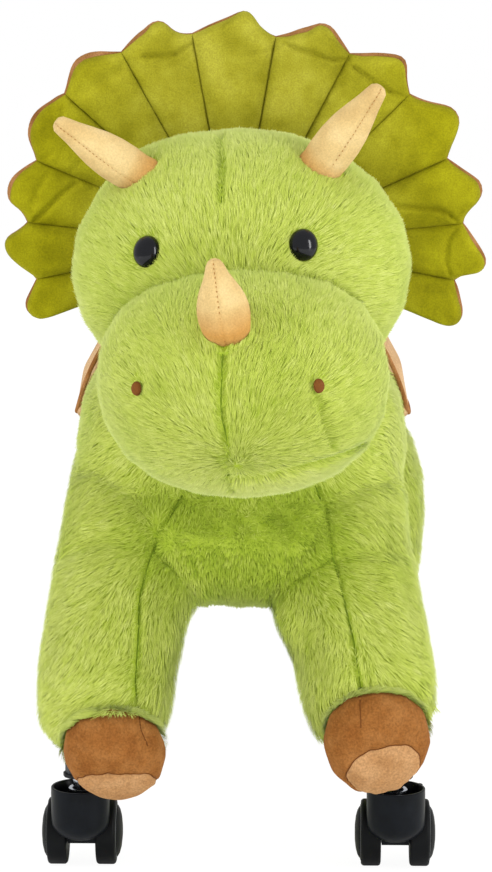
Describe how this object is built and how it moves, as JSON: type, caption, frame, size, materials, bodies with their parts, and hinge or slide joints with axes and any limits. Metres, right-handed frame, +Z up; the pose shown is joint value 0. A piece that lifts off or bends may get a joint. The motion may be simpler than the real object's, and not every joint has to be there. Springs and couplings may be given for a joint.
{
  "type": "ride-on dinosaur",
  "caption": "Ride-on plush triceratops with a lobed neck frill, soft horns, a padded saddle and a handlebar behind the head, standing on twin-wheel swivel casters.",
  "frame": {"origin": "on the floor under the middle of the toy's box", "axes": "+Z up, +Y from the head to the tail, +X to the toy's left hand (the right of a viewer who faces it)"},
  "size_m": [0.3616, 0.6867, 0.6327],
  "materials": {
    "green_fur": "long plush fur",
    "olive_velour": "short velour",
    "brown_velour": "short velour",
    "saddle_velour": "short velour",
    "cream_velour": "short velour",
    "eye_black": "glossy",
    "nostril_thread": "embroidered",
    "hood_black": "satin moulded",
    "tyre_black": "satin moulded",
    "plastic_black": "moulded",
    "grip_rubber": "matt",
    "plated_steel": "zinc plated",
    "chrome": "polished",
    "painted_tube": "black powder coat",
    "plywood": "sanded plywood"
  },
  "bodies": {
    "chassis": {"brow_horn_left": "cream_velour", "brow_horn_right": "cream_velour", "eye_left": "eye_black", "eye_right": "eye_black", "eye_washer_left": "plastic_black", "eye_washer_right": "plastic_black", "frill_back": "saddle_velour", "frill_front": "olive_velour", "front_leg_frame": "painted_tube", "front_leg_left": "green_fur", "front_leg_right": "green_fur", "handle_grip_left": "grip_rubber", "handle_grip_right": "grip_rubber", "handlebar": "painted_tube", "head_plush": "green_fur", "hoof_front_left": "brown_velour", "hoof_front_right": "brown_velour", "hoof_rear_left": "brown_velour", "hoof_rear_right": "brown_velour", "muzzle_plush": "green_fur", "neck_post": "painted_tube", "nose_horn": "cream_velour", "nostril_left": "nostril_thread", "nostril_right": "nostril_thread", "rear_leg_frame": "painted_tube", "rear_leg_left": "green_fur", "rear_leg_right": "green_fur", "saddle_pad": "saddle_velour", "seat_board": "plywood", "seat_bolt_front": "plated_steel", "seat_bolt_rear": "plated_steel", "socket_front_left": "plastic_black", "socket_front_right": "plastic_black", "socket_rear_left": "plastic_black", "socket_rear_right": "plastic_black", "spine_tube": "painted_tube", "stem_front_left": "chrome", "stem_front_right": "chrome", "stem_rear_left": "chrome", "stem_rear_right": "chrome", "tail_plush": "green_fur", "torso_plush": "green_fur"},
    "front_left_swivel": {"caster_front_left_hood": "hood_black", "caster_front_left_axle": "plated_steel"},
    "front_left_left_wheel": {"caster_front_left_left_wheel": "tyre_black"},
    "front_left_right_wheel": {"caster_front_left_right_wheel": "tyre_black"},
    "front_right_swivel": {"caster_front_right_hood": "hood_black", "caster_front_right_axle": "plated_steel"},
    "front_right_left_wheel": {"caster_front_right_left_wheel": "tyre_black"},
    "front_right_right_wheel": {"caster_front_right_right_wheel": "tyre_black"},
    "rear_left_swivel": {"caster_rear_left_hood": "hood_black", "caster_rear_left_axle": "plated_steel"},
    "rear_left_left_wheel": {"caster_rear_left_left_wheel": "tyre_black"},
    "rear_left_right_wheel": {"caster_rear_left_right_wheel": "tyre_black"},
    "rear_right_swivel": {"caster_rear_right_hood": "hood_black", "caster_rear_right_axle": "plated_steel"},
    "rear_right_left_wheel": {"caster_rear_right_left_wheel": "tyre_black"},
    "rear_right_right_wheel": {"caster_rear_right_right_wheel": "tyre_black"}
  },
  "joints": [
    {"name": "front_left_swivel_turn", "type": "hinge", "parent": "chassis", "child": "front_left_swivel", "pos_m": [-0.117, -0.155, 0.06], "axis": [0, 0, 1], "continuous": true},
    {"name": "front_left_left_wheel_spin", "type": "hinge", "parent": "front_left_swivel", "child": "front_left_left_wheel", "pos_m": [-0.117, -0.135, 0.025], "axis": [1, 0, 0], "continuous": true},
    {"name": "front_left_right_wheel_spin", "type": "hinge", "parent": "front_left_swivel", "child": "front_left_right_wheel", "pos_m": [-0.117, -0.135, 0.025], "axis": [1, 0, 0], "continuous": true},
    {"name": "front_right_swivel_turn", "type": "hinge", "parent": "chassis", "child": "front_right_swivel", "pos_m": [0.117, -0.155, 0.06], "axis": [0, 0, 1], "continuous": true},
    {"name": "front_right_left_wheel_spin", "type": "hinge", "parent": "front_right_swivel", "child": "front_right_left_wheel", "pos_m": [0.117, -0.135, 0.025], "axis": [1, 0, 0], "continuous": true},
    {"name": "front_right_right_wheel_spin", "type": "hinge", "parent": "front_right_swivel", "child": "front_right_right_wheel", "pos_m": [0.117, -0.135, 0.025], "axis": [1, 0, 0], "continuous": true},
    {"name": "rear_left_swivel_turn", "type": "hinge", "parent": "chassis", "child": "rear_left_swivel", "pos_m": [-0.117, 0.155, 0.06], "axis": [0, 0, 1], "continuous": true},
    {"name": "rear_left_left_wheel_spin", "type": "hinge", "parent": "rear_left_swivel", "child": "rear_left_left_wheel", "pos_m": [-0.117, 0.175, 0.025], "axis": [1, 0, 0], "continuous": true},
    {"name": "rear_left_right_wheel_spin", "type": "hinge", "parent": "rear_left_swivel", "child": "rear_left_right_wheel", "pos_m": [-0.117, 0.175, 0.025], "axis": [1, 0, 0], "continuous": true},
    {"name": "rear_right_swivel_turn", "type": "hinge", "parent": "chassis", "child": "rear_right_swivel", "pos_m": [0.117, 0.155, 0.06], "axis": [0, 0, 1], "continuous": true},
    {"name": "rear_right_left_wheel_spin", "type": "hinge", "parent": "rear_right_swivel", "child": "rear_right_left_wheel", "pos_m": [0.117, 0.175, 0.025], "axis": [1, 0, 0], "continuous": true},
    {"name": "rear_right_right_wheel_spin", "type": "hinge", "parent": "rear_right_swivel", "child": "rear_right_right_wheel", "pos_m": [0.117, 0.175, 0.025], "axis": [1, 0, 0], "continuous": true}
  ]
}
